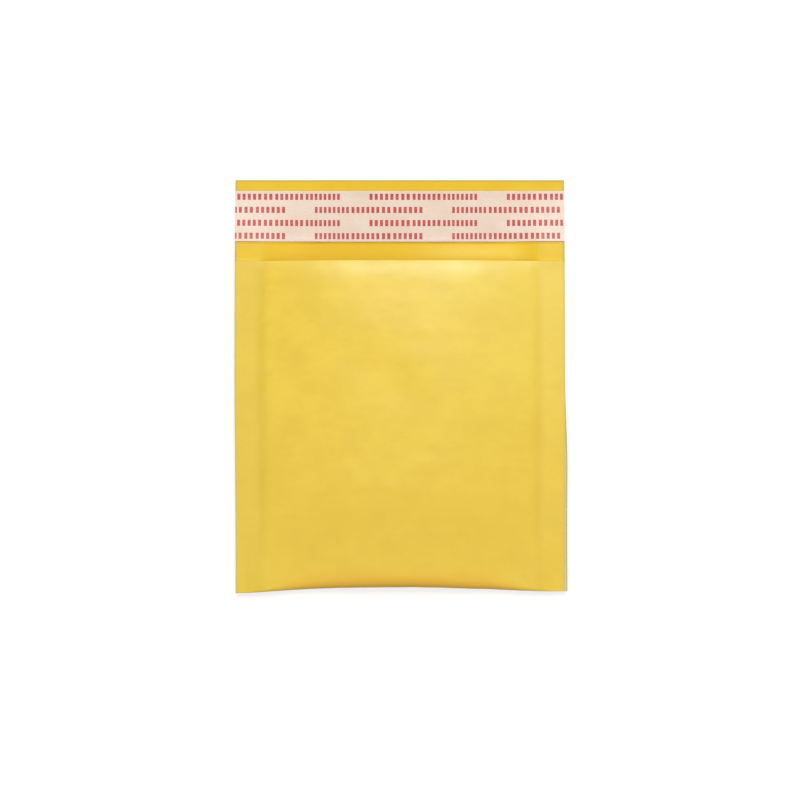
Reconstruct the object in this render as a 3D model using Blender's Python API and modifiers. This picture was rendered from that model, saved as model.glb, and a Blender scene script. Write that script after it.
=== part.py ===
# Padded envelope: a bubble-lined mailer of yellow kraft paper, lying on its back, empty, its flap open.
#
# One kraft sheet runs from the mouth edge down the front, round the bottom fold, up the back and on into the
# flap. A sheet of bubble film, folded the same way, lines the pocket, and both are pressed flat and sealed
# along the two sides. A band of adhesive crosses the flap under a peel-off release liner.
#
# +X runs across the envelope, +Y from the bottom fold to the edge of the flap, and +Z up from the table.
# The origin is on the table, under the middle of the whole outline.

import math

import bmesh
import bpy

# Overall sizes, in metres
sheet_width = 0.1655
pocket_length = 0.1655
flap_length = 0.0408
pocket_height = 0.0145
fold_height = 0.0114
side_pull = 0.0006

# Sheets
paper_thickness = 0.0002
film_thickness = 0.00015
adhesive_thickness = 0.00015
liner_thickness = 0.00012
clearance = 0.0003
layer_gap = 0.00006

# Sealed side seams
seam_width = 0.0132
seam_lift = 0.0030
seam_overlap = 0.00005
crown_power = 4
back_rise_width = 0.0220

# How the front panel runs into the bottom fold and the mouth
fold_blend = 0.0460
mouth_dip = 0.0025
mouth_dip_width = 0.0300

# Bubble film
bubble_pitch = 0.0125
bubble_web = 0.0014
bubble_taper = 0.0014
bubble_height = 0.0031
bubble_gap = 0.0004
bubble_margin = 0.0040
fold_squeeze = 0.45
fold_squeeze_length = 0.0340
lining_setback = 0.0030
lining_side_setback = 0.0006

# Adhesive band and release liner, measured along the flap
liner_setback = 0.0100
liner_width = 0.0256
adhesive_width = 0.0200
adhesive_side_setback = 0.0010

# How finely the sheets are divided
pocket_columns = 9
fold_rows = 8
blend_rows = 7
panel_rows = 5
dip_rows = 3
back_rows = 8
flap_rows = 6
band_rows = 2

# Sizes worked out from those above
half_width = sheet_width / 2
half_pocket = half_width - seam_width
lining_inset = paper_thickness + clearance
seam_height = 2 * (lining_inset + film_thickness) + layer_gap
fold_run = math.pi * fold_height / 4
seam_tuck = (math.pi / 2 - 1) * seam_height / 2
mouth_y = (pocket_length - seam_tuck - flap_length) / 2
bottom_y = mouth_y - pocket_length + seam_tuck


def clamp(value):
    return min(max(value, 0.0), 1.0)


def ease(share):
    """A smooth step from 0 to 1, level at both ends."""
    share = clamp(share)
    return share * share * (3 - 2 * share)


def bulge(share):
    """A quarter of a parabola: it leaves 0 on a slope and arrives level at 1."""
    return 1 - (1 - clamp(share)) ** 2


def fold_fullness(x):
    """How far the bottom fold has opened at x: a plain lens, 0 in the flat seams and 1 in the middle."""
    return 1 - clamp(abs(x) / half_pocket) ** 2


def pocket_fullness(x):
    """The same for the pocket above the fold, where the bubbles lift the paper sooner and hold it flatter."""
    return 1 - clamp(abs(x) / half_pocket) ** crown_power


def back_height(x, y):
    """Height of the back panel's outer face. The seams are lifted, and the flap settles down to the table."""
    inward = half_pocket - abs(x)
    settled = ease((y - mouth_y) / flap_length)
    return seam_lift * (1 - bulge(inward / back_rise_width)) * (1 - settled)


def fold_radius(x):
    return (seam_height + (fold_height - seam_height) * fold_fullness(x)) / 2


def fold_centre_y(x):
    """Centre of the bottom fold: a rounder fold takes up more paper, so it draws the edge in."""
    return mouth_y - pocket_length + math.pi / 2 * fold_radius(x)


def thickness_at(x, y):
    """Outside thickness of the pocket at a place on its panels."""
    dip = mouth_dip * (1 - clamp((mouth_y - y) / mouth_dip_width)) ** 2
    full = seam_height + (pocket_height - dip - seam_height) * pocket_fullness(x)
    risen = ease((y - fold_centre_y(x)) / fold_blend)
    return 2 * fold_radius(x) * (1 - risen) + full * risen


def drawn_in(x, y):
    """The opened pocket draws its sides in a little, more so towards the mouth."""
    return x * (1 - side_pull / half_width * clamp((y - bottom_y) / (mouth_y - bottom_y)))


def sheet_point(x, run, inset):
    """A point of the folded sheet. run is 0 in the middle of the bottom fold, below 0 on the front panel
    and above 0 on the back panel and flap. inset is the depth below the outer face."""
    centre_y = fold_centre_y(x)
    if abs(run) <= fold_run:
        angle = run / fold_run * math.pi / 2
        depth = fold_radius(x) - inset
        y = centre_y - depth * math.cos(angle)
        z = back_height(x, centre_y) + fold_radius(x) - depth * math.sin(angle)
        return drawn_in(x, y), y, z
    if run > pocket_length:
        y = mouth_y + run - pocket_length
    else:
        y = centre_y + (abs(run) - fold_run) / (pocket_length - fold_run) * (mouth_y - centre_y)
    z = back_height(x, y) + inset
    if run < 0:
        z = back_height(x, y) + thickness_at(x, y) - inset
    return drawn_in(x, y), y, z


def column_places(outer):
    """Places across a sheet, closer together where the pocket leaves the seams."""
    half = [half_pocket * math.sin(math.pi / 2 * k / pocket_columns) for k in range(1, pocket_columns + 1)]
    half.append(outer)
    return [-x for x in reversed(half)] + [0.0] + half


def steps(start, end, count):
    """Even steps from start to end, without the start itself."""
    return [start + (end - start) * k / count for k in range(1, count + 1)]


def make_material(name, colour, roughness, alpha=1.0):
    material = bpy.data.materials.new(name)
    material.use_nodes = True
    shader = material.node_tree.nodes["Principled BSDF"]
    shader.inputs["Base Color"].default_value = (*colour, 1.0)
    shader.inputs["Roughness"].default_value = roughness
    shader.inputs["Metallic"].default_value = 0.0
    shader.inputs["Alpha"].default_value = alpha
    return material


def add_object(name, bm, material, collection):
    """Turns a bmesh into a smooth-shaded object of the envelope."""
    mesh = bpy.data.meshes.new(name)
    bm.to_mesh(mesh)
    bm.free()
    mesh.materials.append(material)
    mesh.shade_smooth()
    mesh.set_sharp_from_angle(angle=math.radians(35))
    obj = bpy.data.objects.new(name, mesh)
    collection.objects.link(obj)
    return obj


def folded_sheet(name, columns, runs, inset, thickness, material, collection):
    """A flat grid laid out along the envelope's folded form and given its thickness, inwards."""
    bm = bmesh.new()
    bmesh.ops.create_grid(bm, x_segments=len(columns) - 1, y_segments=len(runs) - 1, size=1.0)
    for vert in bm.verts:
        column = round((vert.co.x + 1) / 2 * (len(columns) - 1))
        row = round((vert.co.y + 1) / 2 * (len(runs) - 1))
        vert.co = sheet_point(columns[column], runs[row], inset)
    sheet = add_object(name, bm, material, collection)
    shell = sheet.modifiers.new("thickness", "SOLIDIFY")
    shell.thickness = thickness
    shell.offset = 1.0
    shell.use_even_offset = True
    return sheet


def kraft_sheet(collection):
    """Front panel, bottom fold, back panel and flap: one sheet of paper."""
    dip_start = mouth_dip_width - pocket_length
    blend_start = -fold_run - fold_blend
    front = [-pocket_length]
    front += steps(-pocket_length, dip_start, dip_rows)
    front += steps(dip_start, blend_start, panel_rows)
    front += steps(blend_start, -fold_run, blend_rows)
    fold = steps(-fold_run, fold_run, fold_rows)
    back = steps(fold_run, pocket_length, back_rows)
    flap = steps(pocket_length, pocket_length + flap_length, flap_rows)
    material = make_material("yellow_kraft", (0.80, 0.58, 0.12), 0.62)
    runs = front + fold + back + flap
    columns = column_places(half_width)
    return folded_sheet("kraft_sheet", columns, runs, 0.0, paper_thickness, material, collection)


def flap_band(name, width, start, outer, inset, thickness, material, collection):
    """A band that crosses the flap, over its inner face."""
    first = pocket_length + start
    runs = [first] + steps(first, first + width, band_rows)
    return folded_sheet(name, column_places(outer), runs, inset, thickness, material, collection)


def adhesive_band(collection):
    material = make_material("adhesive", (0.72, 0.62, 0.38), 0.35)
    start = liner_setback + (liner_width - adhesive_width) / 2
    outer = half_width - adhesive_side_setback
    inset = paper_thickness + clearance
    return flap_band(
        "adhesive_band", adhesive_width, start, outer, inset, adhesive_thickness, material, collection
    )


def release_liner(collection):
    material = make_material("release_liner", (0.93, 0.80, 0.66), 0.45)
    inset = paper_thickness + adhesive_thickness + 2 * clearance
    return flap_band(
        "release_liner", liner_width, liner_setback, half_width, inset, liner_thickness, material, collection
    )


def honeycomb(bm, half_x, half_run):
    """Six-sided cells in staggered rows, past the edges of the film on every side."""
    radius = bubble_pitch / math.sqrt(3)
    row_step = bubble_pitch * math.sqrt(3) / 2
    rows = math.ceil(half_run / row_step) + 1
    columns = math.ceil(half_x / bubble_pitch) + 1
    for row in range(-rows, rows + 1):
        shift = 0.5 if row % 2 else 0.0
        for column in range(-columns, columns + 1):
            cell = bmesh.ops.create_circle(bm, cap_ends=True, segments=6, radius=radius)
            centre = ((column + shift) * bubble_pitch, row * row_step, 0.0)
            bmesh.ops.translate(bm, vec=centre, verts=cell["verts"])
    bmesh.ops.remove_doubles(bm, verts=bm.verts, dist=bubble_pitch / 100)


def cut_along(bm, axis, place, clear_beyond=False):
    """Adds a line of edges across the flat film, and clears what lies beyond it at the film's border."""
    normal = [0.0, 0.0, 0.0]
    normal[axis] = math.copysign(1.0, place)
    point = [0.0, 0.0, 0.0]
    point[axis] = place
    bmesh.ops.bisect_plane(
        bm,
        geom=bm.verts[:] + bm.edges[:] + bm.faces[:],
        dist=bubble_pitch / 1000,
        plane_co=point,
        plane_no=normal,
        clear_outer=clear_beyond,
    )


def bubble_cells(bm, half_run):
    """The whole cells on the film's upper side that lie clear of the seams, the bottom fold and the mouth."""
    whole_area = bubble_pitch**2 * math.sqrt(3) / 2
    cells = []
    for face in bm.faces:
        xs = [abs(vert.co.x) for vert in face.verts]
        runs = [abs(vert.co.y) for vert in face.verts]
        upper = min(vert.co.z for vert in face.verts) > film_thickness / 2
        whole = upper and len(face.verts) == 6 and face.calc_area() > 0.99 * whole_area
        clear = max(xs) < half_pocket - bubble_margin and fold_run < min(runs) and max(runs) < half_run
        if whole and clear:
            cells.append(face)
    return cells


def film_inset(x, run, height):
    """Depth of a point of the film below the paper's outer face. The bubbles stand at their full height in
    the middle of the pocket, and are squeezed flatter beside the seams and towards the bottom fold."""
    if height <= film_thickness:
        return lining_inset + height
    y = sheet_point(x, run, 0.0)[1]
    room = thickness_at(x, y) / 2 - lining_inset - film_thickness - bubble_gap / 2
    from_fold = ease((abs(run) - fold_run) / fold_squeeze_length)
    full_height = bubble_height * (fold_squeeze + (1 - fold_squeeze) * from_fold)
    share = (height - film_thickness) / bubble_height
    return lining_inset + film_thickness + share * max(min(full_height, room), 0.0)


def seal_bar(name, side, collection):
    """The stretch where both layers of film are melted into one along a side seam."""
    inner = half_pocket + seam_overlap
    outer = half_width - lining_side_setback - side_pull - seam_overlap
    start = fold_centre_y(half_pocket) + seam_height
    end = mouth_y - lining_setback - seam_overlap
    bm = bmesh.new()
    bmesh.ops.create_cube(bm, size=1.0)
    bmesh.ops.scale(bm, vec=(outer - inner, end - start, film_thickness), verts=bm.verts)
    middle = (side * (outer + inner) / 2, (start + end) / 2, seam_lift + seam_height / 2)
    bmesh.ops.translate(bm, vec=middle, verts=bm.verts)
    mesh = bpy.data.meshes.new(name)
    bm.to_mesh(mesh)
    bm.free()
    bar = bpy.data.objects.new(name, mesh)
    bar.hide_render = True
    bar.display_type = "WIRE"
    collection.objects.link(bar)
    return bar


def bubble_lining(collection, cutters):
    """Bubble film, made flat with its bubbles raised from the cells, then folded to line the pocket."""
    half_x = half_width - lining_side_setback
    half_run = pocket_length - lining_setback
    bm = bmesh.new()
    honeycomb(bm, half_x, half_run)
    for side in (-1, 1):
        cut_along(bm, 0, side * half_x, clear_beyond=True)
        cut_along(bm, 1, side * half_run, clear_beyond=True)
        cut_along(bm, 0, side * half_pocket)
        cut_along(bm, 0, side * (half_pocket - bubble_margin))
        cut_along(bm, 1, side * fold_run)
        cut_along(bm, 1, side * fold_run / 2)
    cut_along(bm, 1, 0.0)
    bmesh.ops.recalc_face_normals(bm, faces=bm.faces)
    raised = bmesh.ops.extrude_face_region(bm, geom=bm.faces[:])
    top = [item for item in raised["geom"] if isinstance(item, bmesh.types.BMVert)]
    bmesh.ops.translate(bm, vec=(0.0, 0.0, film_thickness), verts=top)
    bmesh.ops.recalc_face_normals(bm, faces=bm.faces)
    cells = bubble_cells(bm, half_run)
    bmesh.ops.inset_individual(bm, faces=cells, thickness=bubble_web / 2)
    bmesh.ops.inset_individual(bm, faces=cells, thickness=bubble_taper, depth=bubble_height)
    for vert in bm.verts:
        x, run, height = vert.co
        vert.co = sheet_point(x, run, film_inset(x, run, height))
    material = make_material("bubble_film", (0.86, 0.87, 0.86), 0.25, alpha=0.6)
    lining = add_object("bubble_lining", bm, material, collection)
    for side, name in ((-1, "left_seal"), (1, "right_seal")):
        union = lining.modifiers.new(name, "BOOLEAN")
        union.operation = "UNION"
        union.solver = "EXACT"
        union.object = seal_bar(name, side, cutters)
    return lining


def main():
    for obj in list(bpy.data.objects):
        bpy.data.objects.remove(obj, do_unlink=True)
    envelope = bpy.data.collections.new("padded_envelope")
    cutters = bpy.data.collections.new("cutters")
    for collection in (envelope, cutters):
        bpy.context.scene.collection.children.link(collection)
    root = bpy.data.objects.new("envelope_origin", None)
    envelope.objects.link(root)
    pieces = [
        kraft_sheet(envelope),
        bubble_lining(envelope, cutters),
        adhesive_band(envelope),
        release_liner(envelope),
    ]
    for piece in pieces:
        piece.parent = root


main()
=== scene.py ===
# %% [markdown]
# # A padded envelope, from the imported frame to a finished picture
#
# The object is a small mailer of yellow kraft paper, lined with bubble film. It lies on its back,
# empty, with its flap open, and it is seen from straight above on white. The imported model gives
# the solids in metres: +X runs across the envelope, +Y from the bottom fold to the edge of the
# flap, and +Z up from the table. Every piece made here lies in that same frame, so nothing has to
# be fitted afterwards.

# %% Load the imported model
import math

import bmesh
import bpy
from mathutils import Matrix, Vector, noise


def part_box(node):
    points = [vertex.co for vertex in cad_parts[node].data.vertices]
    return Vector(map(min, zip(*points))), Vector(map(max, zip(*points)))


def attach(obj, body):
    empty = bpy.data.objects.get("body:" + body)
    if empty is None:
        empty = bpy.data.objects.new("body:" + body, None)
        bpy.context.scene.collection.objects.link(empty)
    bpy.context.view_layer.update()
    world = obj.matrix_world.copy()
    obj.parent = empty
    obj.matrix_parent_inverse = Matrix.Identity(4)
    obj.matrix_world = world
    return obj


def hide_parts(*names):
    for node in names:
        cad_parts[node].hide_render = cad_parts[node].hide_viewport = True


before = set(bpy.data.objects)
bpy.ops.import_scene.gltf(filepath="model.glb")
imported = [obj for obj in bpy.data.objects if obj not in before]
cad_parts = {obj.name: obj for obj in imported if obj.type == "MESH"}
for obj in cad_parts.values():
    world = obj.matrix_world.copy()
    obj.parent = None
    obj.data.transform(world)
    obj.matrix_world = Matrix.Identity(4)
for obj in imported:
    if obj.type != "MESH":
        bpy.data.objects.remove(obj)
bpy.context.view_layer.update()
scene = bpy.context.scene
scene.view_settings.view_transform = "Standard"
mm = 0.001
print("nodes:", sorted(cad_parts))

# %% [markdown]
# ## The sizes that everything shares
#
# The frame says how wide, long and high the envelope is. A few sizes of how it is folded can't be
# read from a box, so they are named here: the flap, the sealed seams along both sides, and how
# high the bottom fold stands. The seams are a little thinner than in the solids, because real
# paper and film are pressed tight there.

# %% Sizes
kraft_low, kraft_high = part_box("kraft_sheet")
liner_low, liner_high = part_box("release_liner")
band_low, band_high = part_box("adhesive_band")

half_width = kraft_high.x
pocket_height = kraft_high.z
flap_length = 41.1 * mm
flap_trim = 0.50 * mm
seam_width = 13.2 * mm
seam_height = 0.6 * mm
seam_lift = 4.0 * mm
fold_height = 11.4 * mm
side_pull = half_width - liner_high.x
paper_thickness = 0.14 * mm
film_thickness = 0.10 * mm

half_pocket = half_width - seam_width
bottom_y = kraft_low.y
mouth_y = kraft_high.y - flap_length
seam_tuck = (math.pi / 2 - 1) * seam_height / 2
pocket_length = mouth_y - bottom_y + seam_tuck
sheet_end = pocket_length + flap_length - flap_trim
fold_run = math.pi * fold_height / 4
print(f"pocket {2 * half_width / mm:.1f} x {pocket_length / mm:.1f} mm")
print(f"mouth at y {mouth_y / mm:.1f} mm")

# %% [markdown]
# ## One function folds every sheet
#
# A mailer is a flat sheet that has been folded once, so the honest way to model it is to lay out
# flat sheets and fold them all with one function. A place on the flat sheet is x, across, and
# run, along: run is 0 in the middle of the bottom fold, below 0 on the front panel, and above 0
# on the back panel and the flap.
#
# The pocket is blown up a little by its bubbles: it rises at once beside the seams and is nearly
# flat in the middle, and its crown is flatter still towards the mouth, where the open edge slumps
# and dips. The bottom fold is a lens, flat in the seams and round in the middle, and a rounder
# fold takes up more paper, so it draws the bottom edge in.

# %% Sizes and steps of the folded form
crease_softness = 1.6 * mm
crown_power = 3
mouth_power = 4.2
mouth_reach = 60.0 * mm
rise_width = 4.5 * mm
rise_share = 0.12
back_rise_width = 30.0 * mm
fold_blend = 46.0 * mm
fold_half = half_pocket + 8.0 * mm
mouth_dip = 1.2 * mm
mouth_dip_width = 12.5 * mm
slump = 3.2 * mm
slump_width = 88.0 * mm
early_settling = 0.35


def clamp(value):
    return min(max(value, 0.0), 1.0)


def ease(share):
    """A smooth step from 0 to 1, level at both ends."""
    share = clamp(share)
    return share * share * (3 - 2 * share)


def bulge(share):
    """A quarter of a parabola: it leaves 0 on a slope and arrives level at 1."""
    return 1 - (1 - clamp(share)) ** 2


def inward(x):
    """Distance from the seam into the pocket, rounded off so that no crease forms."""
    distance = half_pocket - abs(x)
    return (distance + math.hypot(distance, crease_softness)) / 2


def fullness(x, power):
    """0 in the seams and 1 in the middle. A higher power makes a flatter middle."""
    return 1 - clamp(1 - inward(x) / half_pocket) ** power


print(f"a quarter of the way across the pocket is {fullness(half_pocket / 2, crown_power):.2f} full")

# %% Heights of the folded form


def back_height(x, y):
    """Height of the back panel: the seams are lifted, and the flap settles down to the table."""
    past_mouth = (y - mouth_y) / flap_length
    settled = early_settling * bulge(past_mouth) + (1 - early_settling) * ease(past_mouth)
    return seam_lift * (1 - bulge(inward(x) / back_rise_width)) * (1 - settled)


def fold_radius(x):
    """Half the height of the bottom fold."""
    crown = 1 - clamp(abs(x) / fold_half) ** 2
    return (seam_height + (fold_height - seam_height) * crown) / 2


def fold_centre_y(x):
    """Where the bottom fold is centred: a rounder fold takes up more of the sheet."""
    return mouth_y - pocket_length + math.pi / 2 * fold_radius(x)


def thickness_at(x, y):
    """Outside thickness of the pocket at a place on its panels."""
    below_mouth = mouth_y - y
    dip = mouth_dip * (1 - clamp(below_mouth / mouth_dip_width)) ** 3
    dip += slump * (1 - clamp(below_mouth / slump_width)) ** 2
    rise = bulge(inward(x) / rise_width)
    power = crown_power + (mouth_power - crown_power) * ease(1 - below_mouth / mouth_reach)
    full_share = rise_share * rise + (1 - rise_share) * fullness(x, power)
    full = seam_height + (pocket_height - seam_height) * full_share
    full -= dip * (1 - (1 - full_share) ** 3)
    risen = ease((y - fold_centre_y(x)) / fold_blend)
    return 2 * fold_radius(x) * (1 - risen) + full * risen


print(f"fold {2 * fold_radius(0) / mm:.1f} mm high, pocket {thickness_at(0, 0) / mm:.1f} mm")

# %% From the flat sheet to the folded one


def drawn_in(x, y):
    """The opened pocket draws its sides in a little, more so towards the mouth."""
    return x * (1 - side_pull / half_width * clamp((y - bottom_y) / (mouth_y - bottom_y)))


def sheet_point(x, run, inset):
    """A point of a folded sheet. inset is its depth below the paper's outer face."""
    centre_y = fold_centre_y(x)
    if abs(run) <= fold_run:
        angle = run / fold_run * math.pi / 2
        depth = fold_radius(x) - inset
        y = centre_y - depth * math.cos(angle)
        z = back_height(x, centre_y) + fold_radius(x) - depth * math.sin(angle)
        return Vector((drawn_in(x, y), y, z))
    if run > pocket_length:
        y = mouth_y + run - pocket_length
    else:
        y = centre_y + (abs(run) - fold_run) / (pocket_length - fold_run) * (mouth_y - centre_y)
    z = back_height(x, y) + inset
    if run < 0:
        z = back_height(x, y) + thickness_at(x, y) - inset
    return Vector((drawn_in(x, y), y, z))


print(f"the mouth stands {sheet_point(0, -pocket_length, 0).z / mm:.1f} mm high in the middle")

# %% [markdown]
# ## What the paper does between its edges
#
# Kraft paper over bubbles is never quite smooth. It has broad, soft waves where it has been
# handled, which are calmer at the mouth, wrinkles that lie across the envelope, one soft slanting
# step in the middle of the front, puckers where the flat seams pull at the full pocket, a faint
# print of the bubbles, and a low ridge on the back across the open mouth. All of that is real
# shape, so it goes into the mesh as a relief: how far the paper stands proud of the smooth form.
# A bump in the material would be simpler, but it wouldn't show in the outline. Noise from
# mathutils is the same in each run. Where the back lies on the table the relief is weaker and
# only presses inwards, so nothing pokes through the floor.

# %% The paper's relief
wave_across = 42.0 * mm
wave_along = 33.6 * mm
wave_height = 0.34 * mm
calm_share = 0.65
calm_start = 0.72
calm_blend = 0.24
wrinkle_across = 22 * mm
wrinkle_along = 9.5 * mm
wrinkle_height = 0.24 * mm
wrinkle_slant = 0.2
high_wrinkles = 0.3
wrinkle_start = 0.75
wrinkle_blend = 0.6
mottle_across = 9.75 * mm
mottle_along = 6.75 * mm
mottle_height = 0.08 * mm
relief_margin = 12 * mm


def soft_noise(x, y, across, along, seed):
    """Smooth noise of about -1 to 1, with features of the given size across and along the sheet."""
    return noise.noise(Vector((x / across, y / along, seed)))


def at_least(least, share):
    """A share of 0 to 1, brought up to run from least to 1."""
    return least + (1 - least) * share


print(f"waves {wave_across / mm:.0f} mm across, wrinkles {wrinkle_across / mm:.0f} mm")

# %% A slanting step, puckers and corner wrinkles
step_start = Vector((-34 * mm, 34 * mm))
step_end = Vector((32 * mm, -16 * mm))
step_width = 9.0 * mm
step_rise = 0.85 * mm
step_fade = 3.2
step_end_slope = 1.4
step_end_share = 0.2
pucker_spacing = 6.0 * mm
pucker_across = 22 * mm
pucker_reach = 7.0 * mm
pucker_height = 0.07 * mm
corner_reach = 34 * mm
corner_start = 6 * mm
corner_angle = 0.24
corner_height = 0.35 * mm


def slanting_step(x, y):
    """A soft step along a slanting line: the paper above the line stands a little higher."""
    place = Vector((x, y)) - step_start
    along = step_end - step_start
    share = place.dot(along) / along.length_squared
    aside = along.normalized().cross(place) / step_width
    profile = math.tanh(aside) * math.exp(-(aside / step_fade) ** 2)
    for part in (share, 1 - share):
        profile *= ease(step_end_slope * part + step_end_share)
    return step_rise * profile


def seam_puckers(x, y):
    """Short ripples across the seam, shared by both layers, that die out inside the pocket."""
    fade = math.exp(-inward(x) / pucker_reach) * (1 - ease((y - mouth_y) / flap_length))
    own_seed = math.copysign(3.0, x)
    return pucker_height * fade * soft_noise(inward(x), y, pucker_across, pucker_spacing, own_seed)


def corner_wrinkles(x, run):
    """Wrinkles that fan out from each bottom corner, where the round fold meets the flat seam."""
    reach = math.hypot(inward(x), run)
    angle = math.atan2(abs(run), inward(x))
    fade = ease(1 - reach / corner_reach) * ease(reach / corner_start)
    own_corner = math.copysign(1.0, x)
    return corner_height * fade * soft_noise(angle, own_corner, corner_angle, 1.0, seed=8.5)


print(f"slanting step {(step_end - step_start).length / mm:.0f} mm long")

# %% The bubbles' print and the front's relief
bubble_pitch = 12.5 * mm
tile_step = bubble_pitch * math.sqrt(3) / 2
bubble_radius = 5.3 * mm
print_height = 0.12 * mm
print_reach = 70 * mm
faintest_print = 0.35
patch_across = 30 * mm
patch_along = 22 * mm


def bubble_print(x, run):
    """The bubbles show as faint rounds, plainest where the paper is tight near the bottom fold."""
    row = run / tile_step
    nearest = 1.0
    for k in (math.floor(row), math.floor(row) + 1):
        column = x / bubble_pitch - (0.5 if k % 2 else 0.0)
        aside = (column - round(column)) * bubble_pitch
        nearest = min(nearest, math.hypot(aside, (row - k) * tile_step) / bubble_radius)
    tight = at_least(faintest_print, ease(1 + (run + print_reach / 2) / print_reach))
    patchy = 0.7 + 0.6 * soft_noise(x, run, patch_across, patch_along, seed=15.2)
    return print_height * tight * patchy * (1 - clamp(nearest) ** 2) ** 2


def front_relief(x, run):
    """How far the front stands proud of the smooth form."""
    inside = ease(inward(x) / relief_margin)
    calm = 1 - calm_share * ease((-run / pocket_length - calm_start) / calm_blend)
    waves = calm * wave_height * soft_noise(x, run, wave_across, wave_along, seed=1.7)
    lowness = at_least(high_wrinkles, ease((run / pocket_length + wrinkle_start) / wrinkle_blend))
    slanted = x + wrinkle_slant * run
    wrinkles = wrinkle_height * soft_noise(slanted, run, wrinkle_across, wrinkle_along, seed=4.3)
    mottle = mottle_height * soft_noise(x, run, mottle_across, mottle_along, seed=9.1)
    total = inside * (waves + lowness * wrinkles + mottle + bubble_print(x, run))
    total += corner_wrinkles(x, run)
    if run < -fold_run:
        total += inside * slanting_step(x, sheet_point(x, run, 0.0).y)
    return total


print(f"relief in the middle of the front {front_relief(0.0, -pocket_length / 2) / mm:.2f} mm")

# %% The back's relief, with the lip at the mouth
back_wrinkle = 0.12 * mm
flat_back_share = 0.4
clear_of_table = 1.0 * mm
lip_height = 1.3 * mm
lip_width = 10.0 * mm
lip_rise = 30.0 * mm
left_lip_share = 0.15
lip_growth_start = -5 * mm
lip_growth = 40 * mm
lip_margin = 16 * mm


def mouth_lip(x, past_mouth):
    """The back rises in a low ridge across the open mouth, most of all on the right."""
    lip = lip_height * ease(1 + past_mouth / lip_rise) * (1 - ease(past_mouth / lip_width))
    lip *= at_least(left_lip_share, ease((x - lip_growth_start) / lip_growth))
    return lip * ease(inward(x) / lip_margin - 0.1)


def back_relief(x, run):
    """How far the back is pressed in. It never stands out below the table."""
    past_mouth = run - pocket_length
    ripple = back_wrinkle * (1 + soft_noise(x, run, wrinkle_across, wrinkle_along, seed=12.4)) / 2
    ripple *= at_least(flat_back_share, clamp(back_height(x, mouth_y) / clear_of_table))
    return -ripple * (1 - ease(past_mouth / flap_length)) - mouth_lip(x, past_mouth)


def relief(x, run):
    """The front's relief runs round the bottom fold into the back's."""
    turned = clamp((run / fold_run + 1) / 2)
    front = front_relief(x, run) if turned < 1 else 0.0
    back = back_relief(x, run) if turned > 0 else 0.0
    return front * (1 - turned) + back * turned


print(f"relief in the middle of the bottom fold {relief(0.0, 0.0) / mm:.2f} mm")

# %% [markdown]
# ## A cut that isn't quite true
#
# A cheap mailer is cut and sealed a little out of square. This one narrows towards its bottom
# fold, its lower right corner is cut short, and its back layer stands out past the front at the
# lower right. These are small shifts of a point's place in the plane, and they are added after
# the fold and the relief, so that every sheet shares them.

# %% Out of square
askew_shift = 1.1 * mm
askew_start = 3.0 * mm
askew_blend = 46.0 * mm
left_trim = 0.55 * mm
left_taper = 1.0 * mm
left_taper_start = 20 * mm
left_taper_blend = 120 * mm
right_taper = 0.35 * mm
right_taper_start = -20 * mm
right_taper_blend = 60 * mm
corner_raise = 0.9 * mm
corner_raise_blend = 70 * mm
corner_raise_start = 55 * mm
corner_raise_width = 28 * mm


def askew(x, y, run):
    """How far the back layer stands out past the front at the lower right."""
    below = ease((askew_start - y) / askew_blend)
    outermost = ease((x - half_pocket) / seam_width)
    return askew_shift * below * outermost * clamp((run / fold_run + 1) / 2)


def out_of_square(x, y):
    """How far a point lies from its place on a true envelope, across and along."""
    if x < 0:
        narrower = left_trim + left_taper * ease((left_taper_start - y) / left_taper_blend)
    else:
        narrower = right_taper * ease((right_taper_start - y) / right_taper_blend)
    raised = corner_raise * (1 - clamp((y - bottom_y) / corner_raise_blend))
    raised *= ease((x - corner_raise_start) / corner_raise_width)
    return -x / half_width * narrower, raised


def paper_point(x, run, depth=0.0):
    """A point of the envelope with all its relief. depth is measured in from the outer face."""
    point = sheet_point(x, run, depth - relief(x, run))
    shift_x, shift_y = out_of_square(x, point.y)
    shift_x += askew(x, point.y, run)
    point.z += seam_puckers(x, point.y)
    return point + Vector((shift_x, shift_y, 0.0))


lowest_right = paper_point(half_width, 0.0)
print(f"lower right corner at x {lowest_right.x / mm:.1f}, y {lowest_right.y / mm:.1f} mm")

# %% [markdown]
# ## Turning a flat grid into a folded sheet of paper
#
# A grid from create_grid is as flat as paper on a cutting table. Each of its vertices is moved to
# its place on the folded form, and its flat place is kept in a UV map, in metres, so that fibres
# and streaks follow the sheet round the fold. Solidify gives it the thickness of paper. Its inner
# side and its cut edge get materials of their own, because the inside of a mailer shows a
# stronger yellow than the smoother outside.

# %% Helpers for sheets
paper_edge_angle = math.radians(50)


def grid_mesh(columns, rows):
    """A flat grid from 0 to 1 both ways."""
    bm = bmesh.new()
    bmesh.ops.create_grid(bm, x_segments=columns, y_segments=rows, size=0.5, calc_uvs=False)
    bmesh.ops.translate(bm, vec=(0.5, 0.5, 0.0), verts=bm.verts)
    return bm


def keep_flat_place(bm):
    """Stores each corner's flat place in metres in a UV map called sheet."""
    layer = bm.loops.layers.uv.new("sheet")
    for face in bm.faces:
        for loop in face.loops:
            loop[layer].uv = loop.vert.co.xy


def add_object(name, bm):
    """A smooth-shaded object from a bmesh, at the origin."""
    mesh = bpy.data.meshes.new(name)
    bm.to_mesh(mesh)
    bm.free()
    mesh.shade_smooth()
    obj = bpy.data.objects.new(name, mesh)
    scene.collection.objects.link(obj)
    return obj


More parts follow.
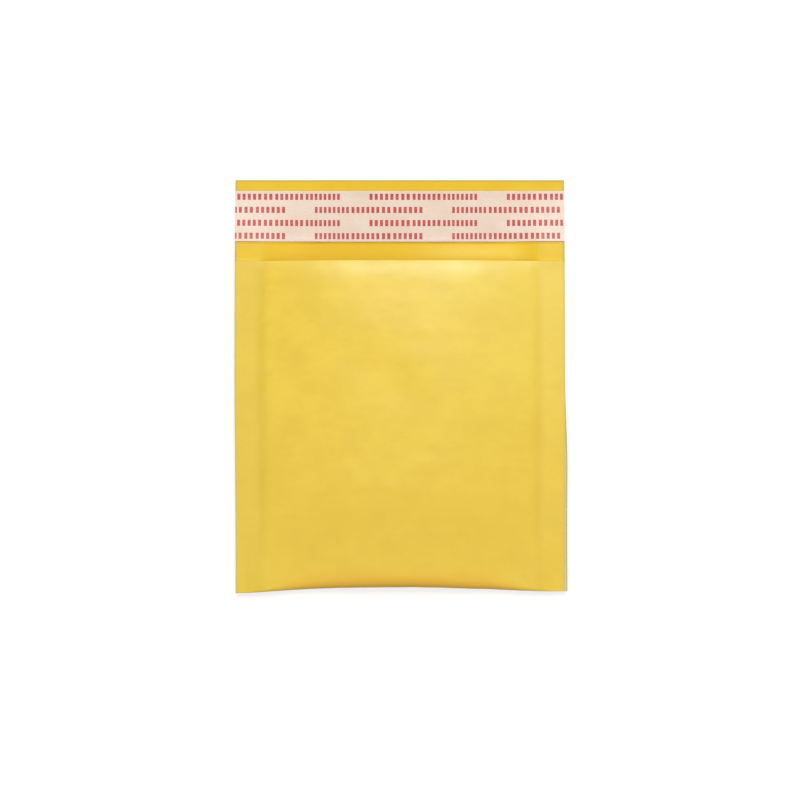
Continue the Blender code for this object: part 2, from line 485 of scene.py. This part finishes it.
def give_thickness(obj, thickness, far_slot=0, edge_slot=0):
    """Solidify, made final so that only the cut edge is shaded sharp."""
    shell = obj.modifiers.new("thickness", "SOLIDIFY")
    shell.thickness = thickness
    shell.offset = 1.0
    shell.use_even_offset = True
    shell.material_offset = far_slot
    shell.material_offset_rim = edge_slot
    evaluated = obj.evaluated_get(bpy.context.evaluated_depsgraph_get())
    mesh = bpy.data.meshes.new_from_object(evaluated)
    obj.modifiers.clear()
    obj.data = mesh
    mesh.shade_smooth()
    mesh.set_sharp_from_angle(angle=paper_edge_angle)


def finish_piece(obj, node):
    """Puts a piece in the place of its CAD node and reports it."""
    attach(obj, "root")
    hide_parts(node)
    print(obj.name, "has", sum(len(p.vertices) - 2 for p in obj.data.polygons), "triangles")


print(f"edges over {math.degrees(paper_edge_angle):.0f} degrees are shaded sharp")

# %% [markdown]
# ## The shader helpers
#
# Writing shader maths as Python expressions keeps a material readable. One small class wraps a
# socket, so that 1 - mask or tone * 0.5 adds the Math nodes by itself. Any other node comes from
# one method that takes the node's type, its settings, and the values or links of its sockets.

# %% Shader maths


class Socket:
    """An output of a node that can be used in sums."""

    def __init__(self, paint, output):
        self.paint = paint
        self.output = output

    def math(self, operation, *values):
        sockets = dict(enumerate(values))
        return self.paint.node("ShaderNodeMath", {"operation": operation}, sockets)

    def __add__(self, other):
        return self.math("ADD", self, other)

    __radd__ = __add__

    def __sub__(self, other):
        return self.math("SUBTRACT", self, other)

    def __rsub__(self, other):
        return self.math("SUBTRACT", other, self)

    def __mul__(self, other):
        return self.math("MULTIPLY", self, other)

    __rmul__ = __mul__

    def __truediv__(self, other):
        return self.math("DIVIDE", self, other)

    def __rtruediv__(self, other):
        return self.math("DIVIDE", other, self)

    def __gt__(self, other):
        return self.math("GREATER_THAN", self, other)

    def __lt__(self, other):
        return self.math("LESS_THAN", self, other)

    def fraction(self):
        return self.math("FRACT", self)

    def distance(self):
        return self.math("ABSOLUTE", self)


class Paint:
    """A material and its node tree."""

    def __init__(self, name):
        self.material = bpy.data.materials.new(name)
        self.material.use_nodes = True
        self.tree = self.material.node_tree
        self.tree.nodes.clear()

    def node(self, kind, settings=None, sockets=None, output=0):
        made = self.tree.nodes.new(kind)
        for name, value in (settings or {}).items():
            setattr(made, name, value)
        for name, value in (sockets or {}).items():
            if isinstance(value, Socket):
                self.tree.links.new(value.output, made.inputs[name])
            else:
                made.inputs[name].default_value = value
        return Socket(self, made.outputs[output]) if made.outputs else made

    def blend(self, factor, first, second):
        """A colour between two colours."""
        sockets = {0: factor, 6: first, 7: second}
        return self.node("ShaderNodeMix", {"data_type": "RGBA"}, sockets, 2)

    def noise(self, vector, scale, detail):
        """Soft noise from 0 to 1. scale is how many features go to a metre of the vector."""
        sockets = {"Vector": vector, "Scale": scale, "Detail": detail}
        return self.node("ShaderNodeTexNoise", {}, sockets)

    def stretched(self, vector, scale):
        """The place on the sheet, stretched by a factor each way."""
        return self.node("ShaderNodeMapping", {}, {"Vector": vector, "Scale": scale})

    def split(self, vector):
        """The first two parts of a vector."""
        parts = self.node("ShaderNodeSeparateXYZ", {}, {0: vector})
        return parts, Socket(self, parts.output.node.outputs[1])

    def ramp(self, value, low, high):
        """0 below low, 1 above high, and smooth between."""
        sockets = {"Value": value, "From Min": low, "From Max": high}
        return self.node("ShaderNodeMapRange", {"interpolation_type": "SMOOTHSTEP"}, sockets)

    def bump(self, height, strength, distance):
        sockets = {"Height": height, "Strength": strength, "Distance": distance}
        return self.node("ShaderNodeBump", {}, sockets)

    def finish(self, shader):
        self.node("ShaderNodeOutputMaterial", {}, {"Surface": shader})
        return self.material


def rgb(red, green, blue):
    """A colour as the screen shows it, from 0 to 255, in the linear values that Blender mixes."""
    values = [channel / 255 for channel in (red, green, blue)]
    linear = [v / 12.92 if v <= 0.04045 else ((v + 0.055) / 1.055) ** 2.4 for v in values]
    return (*linear, 1.0)


print("yellow of the paper, linear:", [round(v, 3) for v in rgb(240, 207, 90)[:3]])

# %% [markdown]
# ## Kraft paper
#
# Yellow kraft is smooth on one side, with a soft sheen that is cooler than the paper. Close up it
# has long, pale fibres that lie mostly one way, faint streaks from the paper machine across the
# envelope, and a mottled look where the pulp is thicker. Each of these is a noise on the sheet's
# own flat coordinates, and each changes the colour by only a little.
#
# Light and shade are also painted into the tone over the sheet: painted shade on the bottom fold
# and towards the bottom, along the inner line of the seals, on the left seal and at the cut edges,
# a painted sheen at the upper right, painted light between the mouth and the strip with painted
# shade on its left part, a painted highlight beside the mouth and a painted shadow just below the
# strip. Each such zone is a short function that gives a mask from the same flat coordinates,
# across and along the sheet. A painted image could do this too, but masks stay sharp at any size.
# The outer face, the inner face and the cut edge share one recipe and differ in their tones,
# zones and roughness.

# %% Zones of painted light and shade on the outer face


def painted_shade_at_the_fold(paint, across, along):
    """1 on the round part of the bottom fold: painted shade where it turns from the light."""
    round_part = 1 - paint.ramp(along.distance(), 0.6 * fold_run, 1.8 * fold_run)
    return round_part * (1 - paint.ramp(across.distance(), 0.60 * half_pocket, 1.04 * half_pocket))


def painted_shade_towards_the_bottom(paint, across, along):
    """Painted shade: 1 at the bottom fold, fading out above the middle of the pocket."""
    return 1 - paint.ramp(along.distance(), 0.1 * pocket_length, 0.8 * pocket_length)


def painted_shade_along_the_seals(paint, across, along):
    """1 on the inner line of each side seal: painted shade in the crease where the pocket rises."""
    from_line = (across.distance() - half_pocket - 0.5 * mm).distance()
    return 1 - paint.ramp(from_line, 0.4 * mm, 3.6 * mm)


def painted_shade_on_the_left_seal(paint, across, along):
    """1 on the left side seal: painted shade that makes it darker than the right one."""
    return 1 - paint.ramp(across, -half_pocket - 3 * mm, -half_pocket + 5 * mm)


def painted_sheen_high_on_the_right(paint, across, along):
    """1 at the upper right of the front, where a painted sheen makes the paper paler."""
    upper = paint.ramp(0 - along, 0.35 * pocket_length, 0.95 * pocket_length)
    return upper * paint.ramp(across, -10 * mm, 50 * mm)


def painted_shade_at_the_cut_edges(paint, across, along):
    """1 along the flap's free edge and both sides: painted shade at the cut edges."""
    top = paint.ramp(along, sheet_end - 1.3 * mm, sheet_end - 0.5 * mm)
    sides = paint.ramp(across.distance(), half_width - 1.5 * mm, half_width - 0.5 * mm)
    return top + (1 - top) * sides


# Painted shade on the fold, towards the bottom, along the seals, on the left seal and at the cut
# edges, and a painted sheen at the upper right.
outer_painted_light = (
    (painted_shade_towards_the_bottom, 0.36, rgb(223, 183, 42)),
    (painted_shade_at_the_fold, 0.75, rgb(234, 173, 14)),
    (painted_shade_along_the_seals, 0.20, rgb(220, 178, 40)),
    (painted_shade_on_the_left_seal, 0.35, rgb(223, 190, 44)),
    (painted_sheen_high_on_the_right, 0.28, rgb(247, 222, 104)),
    (painted_shade_at_the_cut_edges, 0.55, rgb(208, 186, 96)),
)
print(len(outer_painted_light), "zones on the outer face")

# %% Zones of painted light and shade on the inner face


def painted_light_below_the_strip(paint, across, along):
    """1 on the inner face between the mouth and the strip: painted light that lifts its shade."""
    between = 1 - paint.ramp(along, pocket_length + 12 * mm, pocket_length + 30 * mm)
    return between * (1 - paint.ramp(across.distance(), 0.72 * half_pocket, 1.06 * half_pocket))


def painted_shade_left_of_the_middle(paint, across, along):
    """1 on the left part of the same stretch: painted shade that makes it deeper in tone."""
    return painted_light_below_the_strip(paint, across, along) * (1 - paint.ramp(across, -45 * mm, 25 * mm))


def painted_highlight_beside_the_mouth(paint, across, along):
    """1 where the flap leaves the two side seals, level with the mouth: a painted highlight."""
    close = 1 - paint.ramp(along, pocket_length + 0.3 * mm, pocket_length + 2.4 * mm)
    return close * paint.ramp(across.distance(), half_pocket - 2 * mm, half_pocket + 4 * mm)


def painted_shadow_under_the_strip(paint, across, along):
    """1 in a line just below the strip: a painted shadow of the strip's lifted edge."""
    line = pocket_length + liner_low.y - mouth_y - 0.8 * mm
    return 1 - paint.ramp((along - line).distance(), 0.35 * mm, 1.3 * mm)


# Painted light between the mouth and the strip, painted shade on its left part, a painted highlight
# beside the mouth, a painted shadow under the strip and painted shade at the cut edges.
inner_painted_light = (
    (painted_light_below_the_strip, 0.85, rgb(249, 205, 10)),
    (painted_shade_left_of_the_middle, 0.50, rgb(244, 191, 2)),
    (painted_highlight_beside_the_mouth, 0.65, rgb(248, 214, 66)),
    (painted_shadow_under_the_strip, 0.62, rgb(218, 164, 6)),
    (painted_shade_at_the_cut_edges, 0.90, rgb(206, 176, 76)),
)
print(len(inner_painted_light), "zones on the inner face")

# %% The kraft materials
cool_sheen = (0.66, 0.95, 1.0, 1.0)
cloud_scale = 55.0
streak_scale = (35.0, 220.0, 1.0)
mottle_scale = (150.0, 300.0, 1.0)
fibre_scale = (520.0, 2600.0, 1.0)
grain_scale = 2600.0
grain_depth = 0.06 * mm


def kraft_paint(name, tones, roughness, gloss, zones=()):
    """Paper of one main tone, with paler fibres and deeper mottling, and zones of painted light and
    shade.
    """
    tone, pale, deep = tones
    paint = Paint(name)
    place = paint.node("ShaderNodeUVMap", {"uv_map": "sheet"})
    clouds = paint.noise(place, cloud_scale, 3.0)
    streaks = paint.noise(paint.stretched(place, streak_scale), 1.0, 3.0)
    mottle = paint.noise(paint.stretched(place, mottle_scale), 1.0, 2.0)
    fibres = paint.noise(paint.stretched(place, fibre_scale), 1.0, 2.0)
    grain = paint.noise(place, grain_scale, 1.0)
    shade = 0.65 * clouds + 0.10 * streaks + 0.25 * mottle
    colour = paint.blend(paint.ramp(shade, 0.36, 0.64), deep, tone)
    colour = paint.blend(0.5 * paint.ramp(fibres, 0.60, 0.76), colour, pale)
    # Painted light and shade are blended into the colour here, one zone after another.
    for zone, strength, zone_tone in zones:
        colour = paint.blend(strength * zone(paint, *paint.split(place)), colour, zone_tone)
    surface = 0.6 * grain + 0.4 * fibres
    shader = paint.node("ShaderNodeBsdfPrincipled", {}, {
        "Base Color": colour,
        "Roughness": roughness - 0.10 * clouds + 0.08 * grain,
        "Specular IOR Level": gloss,
        "Specular Tint": cool_sheen,
        "Normal": paint.bump(surface, 0.35, grain_depth),
    })
    return paint.finish(shader)


outer_tones = rgb(243, 205, 50), rgb(246, 215, 82), rgb(236, 197, 43)
inner_tones = rgb(239, 196, 14), rgb(243, 205, 40), rgb(234, 189, 8)
edge_tones = rgb(214, 176, 84), rgb(226, 193, 110), rgb(200, 160, 74)
kraft_outer = kraft_paint("kraft_outer", outer_tones, 0.40, 0.80, outer_painted_light)
kraft_inner = kraft_paint("kraft_inner", inner_tones, 0.40, 0.38, inner_painted_light)
kraft_edge = kraft_paint("kraft_edge", edge_tones, 0.80, 0.30)
print("made", kraft_outer.name, kraft_inner.name, kraft_edge.name)

# %% [markdown]
# ## The kraft sheet
#
# One sheet makes the front, the bottom fold, the back and the flap. Four panels set edge to edge
# would be simpler, but they would leave seams at the folds, where real paper runs on. The grid is
# a little over a millimetre fine, which is enough for the smallest ripples, the puckers 6 mm
# apart. Every bend and shift is already in the function above.

# %% Model the kraft sheet
sheet_columns = 136
sheet_rows = 300
sheet_length = pocket_length + sheet_end
row_step = sheet_length / sheet_rows
column_step = 2 * half_width / sheet_columns
sheet = grid_mesh(sheet_columns, sheet_rows)
for vert in sheet.verts:
    vert.co.x = (2 * vert.co.x - 1) * half_width
    vert.co.y = -pocket_length + vert.co.y * sheet_length
keep_flat_place(sheet)
for vert in sheet.verts:
    vert.co = paper_point(vert.co.x, vert.co.y)
kraft = add_object("kraft_paper", sheet)
for material in (kraft_inner, kraft_outer, kraft_edge):
    kraft.data.materials.append(material)
give_thickness(kraft, paper_thickness, far_slot=1, edge_slot=2)
finish_piece(kraft, "kraft_sheet")

# %% [markdown]
# ## Bubble film
#
# Bubble film is two thin layers: a flat one and one that is drawn into round domes, with air
# between them. It is made flat here too. Honeycomb tiles come from create_circle, their sides are
# cut in two so that each tile has twelve corners, and each is inset to a true circle and raised
# in rings to a dome. After that the film is folded with the same function as the paper. Each
# bubble has a few dozen faces, because there are hundreds.

# %% The film's material


def film_paint():
    """Clear, glossy film that is slightly milky, with faint stretch marks."""
    paint = Paint("bubble_film")
    place = paint.node("ShaderNodeTexCoord", {}, {}, "Object")
    haze = paint.noise(place, 260.0, 2.0)
    marks = paint.noise(paint.stretched(place, (300.0, 1500.0, 300.0)), 1.0, 2.0)
    shader = paint.node("ShaderNodeBsdfPrincipled", {}, {
        "Base Color": rgb(244, 247, 247),
        "Roughness": 0.08 + 0.10 * haze,
        "Alpha": 0.26 + 0.14 * haze,
        "Specular IOR Level": 0.8,
        "Coat Weight": 1.0,
        "Coat Roughness": 0.05,
        "Normal": paint.bump(marks, 0.25, 0.1 * mm),
    })
    return paint.finish(shader)


bubble_film = film_paint()
print("made", bubble_film.name)

# %% Sizes of the bubble film
bubble_height = 3.1 * mm
bubble_gap = 0.4 * mm
seam_gap = 0.04 * mm
pocket_gap = 0.34 * mm
gap_width = 9.0 * mm
rows_apart = 3
bubble_margin = 4.0 * mm
fold_squeeze = 0.45
fold_squeeze_length = 34.0 * mm
film_edge_angle = math.radians(60)
dome_rings = ((1.0, 0.0), (0.97, 0.42), (0.86, 0.74), (0.62, 0.94), (0.30, 1.0))
ring_inset = 0.1 * mm
fold_cuts = (0.25, 0.5, 0.75, 1.0)
lining_setback = 3.0 * mm
film_half_x = half_width - side_pull
film_half_run = pocket_length - lining_setback
dome_limit = half_pocket - bubble_margin
print(f"film {2 * film_half_x / mm:.1f} x {2 * film_half_run / mm:.1f} mm flat")

# %% Tiling and cutting the flat film


def honeycomb(half_x, half_run):
    """Six-sided tiles in staggered rows, past the film's edges on every side."""
    bm = bmesh.new()
    radius = bubble_pitch / math.sqrt(3)
    rows = math.ceil(half_run / tile_step) + 1
    columns = math.ceil(half_x / bubble_pitch) + 1
    for row in range(-rows, rows + 1):
        shift = 0.5 if row % 2 else 0.0
        for column in range(-columns, columns + 1):
            tile = bmesh.ops.create_circle(bm, cap_ends=True, segments=6, radius=radius)
            centre = ((column + shift) * bubble_pitch, row * tile_step, 0.0)
            bmesh.ops.translate(bm, vec=centre, verts=tile["verts"])
    bmesh.ops.remove_doubles(bm, verts=bm.verts, dist=bubble_pitch / 100)
    bmesh.ops.subdivide_edges(bm, edges=bm.edges[:], cuts=1)
    return bm


def cut_along(bm, axis, place, clear_beyond=False, geom=None):
    """Adds a line of edges across the flat film, and clears what lies beyond it at the border."""
    normal = [0.0, 0.0, 0.0]
    normal[axis] = math.copysign(1.0, place)
    point = [0.0, 0.0, 0.0]
    point[axis] = place
    bmesh.ops.bisect_plane(
        bm,
        geom=geom or bm.verts[:] + bm.edges[:] + bm.faces[:],
        dist=bubble_pitch / 1000,
        plane_co=point,
        plane_no=normal,
        clear_outer=clear_beyond,
    )


def cut_seam_rows(bm, run):
    """Cuts only the film in the seams along one row of the paper, so that both bend alike there."""
    near = [
        face
        for face in bm.faces
        if abs(face.calc_center_median().x) > dome_limit
        and min(v.co.y for v in face.verts) < run < max(v.co.y for v in face.verts)
    ]
    edges = dict.fromkeys(edge for face in near for edge in face.edges)
    verts = dict.fromkeys(vert for face in near for vert in face.verts)
    cut_along(bm, 1, run, geom=[*verts, *edges, *near])


film = honeycomb(film_half_x, film_half_run)
for side in (-1, 1):
    cut_along(film, 0, side * film_half_x, clear_beyond=True)
    cut_along(film, 1, side * film_half_run, clear_beyond=True)
    for column in range(1, sheet_columns // 2):
        place = half_width - column * column_step
        if dome_limit < place < film_half_x:
            cut_along(film, 0, side * place)
    cut_along(film, 0, side * dome_limit)
    for share in fold_cuts:
        cut_along(film, 1, side * share * fold_run)
for row in range(rows_apart, int(2 * pocket_length / row_step), rows_apart):
    run = -pocket_length + row * row_step
    if fold_run < abs(run) < film_half_run:
        cut_seam_rows(film, run)
bmesh.ops.recalc_face_normals(film, faces=film.faces)
print(len(film.faces), "faces in the flat film")

# %% Raise the bubbles and fold the film


def whole_cells(bm):
    """The whole tiles on the film's upper side, clear of the seams, the fold and the mouth."""
    whole_area = bubble_pitch**2 * math.sqrt(3) / 2
    cells = []
    for face in bm.faces:
        xs = [abs(vert.co.x) for vert in face.verts]
        runs = [abs(vert.co.y) for vert in face.verts]
        upper = min(vert.co.z for vert in face.verts) > film_thickness / 2
        whole = face.calc_area() > 0.99 * whole_area
        clear = max(xs) < dome_limit and fold_run < min(runs) and max(runs) < film_half_run
        if upper and whole and clear:
            cells.append(face)
    return cells


def raise_dome(bm, face):
    """Insets one tile to a circle and raises it in rings to a dome."""
    centre = face.calc_center_median()
    for share, height in dome_rings:
        bmesh.ops.inset_individual(bm, faces=[face], thickness=ring_inset)
        top = film_thickness + height * bubble_height
        for vert in face.verts:
            outward = (vert.co - centre).xy.normalized() * bubble_radius * share
            vert.co = (centre.x + outward.x, centre.y + outward.y, top)


def film_inset(x, run, height):
    """Depth below the paper's outer face. The bubbles are squeezed where the pocket is tight."""
    under = paper_thickness + seam_gap + (pocket_gap - seam_gap) * ease(inward(x) / gap_width)
    if height <= film_thickness:
        return under + height
    y = sheet_point(x, run, 0.0).y
    room = thickness_at(x, y) / 2 - under - film_thickness - bubble_gap / 2
    from_fold = ease((abs(run) - fold_run) / fold_squeeze_length)
    full_height = bubble_height * at_least(fold_squeeze, from_fold)
    share = (height - film_thickness) / bubble_height
    return under + film_thickness + share * max(min(full_height, room), 0.0)


raised = bmesh.ops.extrude_face_region(film, geom=film.faces[:])
upper_side = [item for item in raised["geom"] if isinstance(item, bmesh.types.BMVert)]
bmesh.ops.translate(film, vec=(0.0, 0.0, film_thickness), verts=upper_side)
bmesh.ops.recalc_face_normals(film, faces=film.faces)
cells = whole_cells(film)
for cell in cells:
    raise_dome(film, cell)
for vert in film.verts:
    x, run, height = vert.co
    vert.co = paper_point(x, run, film_inset(x, run, height))
lining = add_object("bubble_film_lining", film)
lining.data.materials.append(bubble_film)
lining.data.set_sharp_from_angle(angle=film_edge_angle)
finish_piece(lining, "bubble_lining")
print(len(cells), "bubbles")

# %% [markdown]
# ## The adhesive under the strip
#
# The flap carries a band of tacky adhesive. The strip covers it until the envelope is closed, so
# only its edge can be seen, and only from close by. It is a thin band with slightly uneven edges,
# as adhesive is when it has been rolled on. A flat box would cut into the paper's waves, so it is
# a grid that takes its height from the flap below it, and the liner is made in the same way.

# %% Model the adhesive
adhesive_rise = 0.02 * mm
adhesive_thickness = 0.12 * mm
band_columns = 150
band_rows = 12


def adhesive_paint():
    paint = Paint("adhesive")
    place = paint.node("ShaderNodeTexCoord", {}, {}, "Object")
    ripple = paint.noise(place, 420.0, 2.0)
    shader = paint.node("ShaderNodeBsdfPrincipled", {}, {
        "Base Color": paint.blend(ripple, rgb(206, 188, 140), rgb(222, 206, 160)),
        "Roughness": 0.22 + 0.2 * ripple,
        "Normal": paint.bump(ripple, 0.4, 0.2 * mm),
    })
    return paint.finish(shader)


def flap_band(name, low, high, columns, rows, height_at, edge_at):
    """A band across the flap. height_at gives its underside, and edge_at moves its long edges."""
    bm = grid_mesh(columns, rows)
    for vert in bm.verts:
        vert.co.x = low.x + vert.co.x * (high.x - low.x)
        vert.co.y = low.y + vert.co.y * (high.y - low.y) + edge_at(vert.co.x, vert.co.y)
    keep_flat_place(bm)
    for vert in bm.verts:
        vert.co.z = height_at(vert.co.x, vert.co.y)
    return add_object(name, bm)


def flap_top(x, y):
    """Height of the flap's upper face."""
    return paper_point(x, pocket_length + y - mouth_y, paper_thickness).z


def adhesive_height(x, y):
    return flap_top(x, y) + adhesive_rise


def wandering(x, share, reach, length, seed):
    """How far a band's long edges stray. share is 0 on the lower edge and 1 on the upper."""
    return (share - 0.5) * reach * soft_noise(x, share, length, 1.0, seed)


def uneven_edge(x, share):
    return wandering(x, share, 0.5 * mm, 9 * mm, seed=2.2)


adhesive = flap_band(
    "adhesive_strip", band_low, band_high, band_columns, band_rows, adhesive_height, uneven_edge
)
adhesive.data.materials.append(adhesive_paint())
give_thickness(adhesive, -adhesive_thickness)
finish_piece(adhesive, "adhesive_band")

# %% [markdown]
# ## The release liner
#
# The strip that peels off is thin cream paper with a silicone face. It is stuck down along its
# middle and loose at its long edges, so it has a slight ripple and its edges lift by a fraction
# of a millimetre. It carries four rows of plain red blocks, with the rhythm of print and nothing
# to read, and every second row is turned round. The blocks could be pieces of their own, but ink
# has no thickness, so they are a mask in the material, made with the same arithmetic in every
# row.

# %% The liner's material
phrase_period = 68.4 * mm
phrase_start = -14.8 * mm
turned_start = -42.0 * mm
print_rows = 4
row_pitch = 6.53 * mm
row_height = 3.1 * mm
first_row = 94.1 * mm
block_share = 0.60
word_gap = 1.25 * mm
words = ((14.6 * mm, 6), (4.4 * mm, 2), (13.9 * mm, 6), (17.0 * mm, 8))


def printed_phrase(place, start, order):
    """A mask of blocks in groups. place runs along the strip, and the groups repeat each period."""
    along = ((place - start) / phrase_period).fraction() * phrase_period
    mask = None
    begin = 0.0
    for length, blocks in order:
        within = (along > begin) * (along < begin + length)
        pitch = (length + (1 - block_share) * length / blocks) / blocks
        block = ((along - begin) / pitch).fraction() < block_share
        word = within * block
        mask = word if mask is None else mask + word
        begin += length + word_gap
    return mask


def liner_paint():
    paint = Paint("release_liner")
    flat = paint.node("ShaderNodeUVMap", {"uv_map": "sheet"})
    across, along = paint.split(flat)
    fibres = paint.noise(paint.stretched(flat, (500.0, 1400.0, 1.0)), 1.0, 2.0)
    clouds = paint.noise(flat, 70.0, 2.0)
    shade = paint.ramp(0.5 * fibres + 0.5 * clouds, 0.38, 0.62)
    paper = paint.blend(shade, rgb(234, 208, 186), rgb(239, 218, 199))
    straight = printed_phrase(across, phrase_start, words)
    turned = printed_phrase(across, turned_start, words[::-1])
    ink = 0.0
    for row in range(print_rows):
        centre = first_row - row * row_pitch
        in_row = (along - centre).distance() < row_height / 2
        ink = ink + in_row * (turned if row % 2 else straight)
    worn = 0.86 + 0.14 * paint.ramp(fibres, 0.35, 0.55)
    shader = paint.node("ShaderNodeBsdfPrincipled", {}, {
        "Base Color": paint.blend(ink * worn, paper, rgb(190, 54, 56)),
        "Roughness": 0.42 + 0.1 * clouds,
        "Normal": paint.bump(fibres, 0.2, 0.05 * mm),
        "Coat Weight": 0.15,
        "Coat Roughness": 0.3,
    })
    return paint.finish(shader)


release_paper = liner_paint()
print("made", release_paper.name)

# %% Model the release liner
liner_columns = 150
liner_rows = 26
liner_thickness = 0.09 * mm
liner_gap = 0.02 * mm
stuck_height = adhesive_rise + adhesive_thickness + liner_gap
stuck_share = 0.72
edge_lift = 0.35 * mm
liner_trim = 0.7 * mm
liner_drop = 0.38 * mm
liner_left_trim = 0.5 * mm
ripple_height = 0.10 * mm
strip_low = liner_low + Vector((liner_left_trim, -liner_drop, 0.0))
strip_high = liner_high - Vector((0.0, liner_trim, 0.0))


def liner_height(x, y):
    """The strip lies on the adhesive in the middle and lifts a little along its long edges."""
    from_middle = abs(y - (strip_low.y + strip_high.y) / 2) / ((strip_high.y - strip_low.y) / 2)
    free = ease((from_middle - stuck_share) / (1 - stuck_share))
    lift = edge_lift * free * (0.6 + 0.8 * soft_noise(x, y, 16 * mm, 40 * mm, seed=6.1))
    ripple = ripple_height * (soft_noise(x, y, 14 * mm, 22 * mm, seed=3.3) + 1) / 2
    return flap_top(x, y) + stuck_height + ripple + max(lift, 0.0)


def cut_edge(x, share):
    """The slit edges of the strip wander by a few hundredths of a millimetre."""
    return wandering(x, share, 0.12 * mm, 30 * mm, seed=5.0)


liner = flap_band(
    "release_strip", strip_low, strip_high, liner_columns, liner_rows, liner_height, cut_edge
)
liner.data.materials.append(release_paper)
give_thickness(liner, -liner_thickness)
finish_piece(liner, "release_liner")

# %% [markdown]
# ## Floor, light and camera
#
# The envelope lies on plain white. The floor is a diffuse grey that also glows for the camera
# alone: where nothing shades it, it reaches full white, and close to the envelope it still
# darkens, so the soft contact shadow stays. The light is a large soft source beyond the flap, a
# little to the right, and an even sky. Together they give a flat sheet about as much light as
# makes its colour come out as it is written.

# %% The floor
floor_half_size = 40.0
floor_tone = 0.40
floor_glow = 0.68
white = (1.0, 1.0, 1.0, 1.0)


def floor_paint():
    paint = Paint("white_floor")
    seen = paint.node("ShaderNodeLightPath", {}, {}, "Is Camera Ray")
    grey = (floor_tone, floor_tone, floor_tone, 1.0)
    diffuse = paint.node("ShaderNodeBsdfDiffuse", {}, {"Color": grey})
    glow = paint.node("ShaderNodeEmission", {}, {"Color": white, "Strength": floor_glow * seen})
    return paint.finish(paint.node("ShaderNodeAddShader", {}, {0: diffuse, 1: glow}))


floor_bm = bmesh.new()
bmesh.ops.create_grid(floor_bm, x_segments=1, y_segments=1, size=floor_half_size)
floor = add_object("floor", floor_bm)
floor.data.materials.append(floor_paint())
print("made", floor.name)

# %% The sky and the lamp
sky_share = 0.62
lamp_share = 0.37
lamp_spread = math.radians(26)
lamp_direction = Vector((0.08, 0.58, 1.0))


def white_sky(share):
    """An even sky that lights by the given share, and looks plain white, also in reflections."""
    world = bpy.data.worlds.new("white_sky")
    world.use_nodes = True
    scene.world = world
    tree = world.node_tree
    back = tree.nodes["Background"]
    back.inputs["Color"].default_value = white
    path = tree.nodes.new("ShaderNodeLightPath")
    seen = path.outputs["Is Camera Ray"]
    for kind in ("Is Glossy Ray", "Is Transmission Ray"):
        either = tree.nodes.new("ShaderNodeMath")
        either.operation = "MAXIMUM"
        tree.links.new(seen, either.inputs[0])
        tree.links.new(path.outputs[kind], either.inputs[1])
        seen = either.outputs[0]
    strength = tree.nodes.new("ShaderNodeMapRange")
    strength.inputs["To Min"].default_value = share
    strength.inputs["To Max"].default_value = 1.0
    tree.links.new(seen, strength.inputs["Value"])
    tree.links.new(strength.outputs[0], back.inputs["Strength"])


def soft_lamp(name, direction, spread, share):
    """A far, wide lamp that gives a flat sheet the given share of full light, wherever it lies."""
    data = bpy.data.lights.new(name, "SUN")
    data.angle = spread
    data.energy = share * math.pi / direction.normalized().z
    lamp = bpy.data.objects.new(name, data)
    lamp.rotation_euler = direction.to_track_quat("Z", "Y").to_euler()
    scene.collection.objects.link(lamp)
    print(name, f"strength {data.energy:.2f}")


white_sky(sky_share)
soft_lamp("window_light", lamp_direction, lamp_spread, lamp_share)

# %% [markdown]
# The camera looks straight down. A 90 mm lens on a 36 mm sensor sees a frame 0.4 of its distance
# wide, and the photo's frame is 398.7 mm wide at the table, so the camera hangs just under a
# metre up. It is centred where the photo's middle falls on the envelope.

# %% The camera
view_width = 398.7 * mm
lens = 90.0
sensor = 36.0
aim = Vector((0.4 * mm, -7.1 * mm, 0.0))
camera_data = bpy.data.cameras.new("overhead")
camera_data.lens = lens
camera_data.sensor_width = sensor
camera = bpy.data.objects.new("overhead", camera_data)
camera.location = aim + Vector((0.0, 0.0, view_width * lens / sensor))
scene.collection.objects.link(camera)
scene.camera = camera
print(f"camera {camera.location.z:.3f} m up")
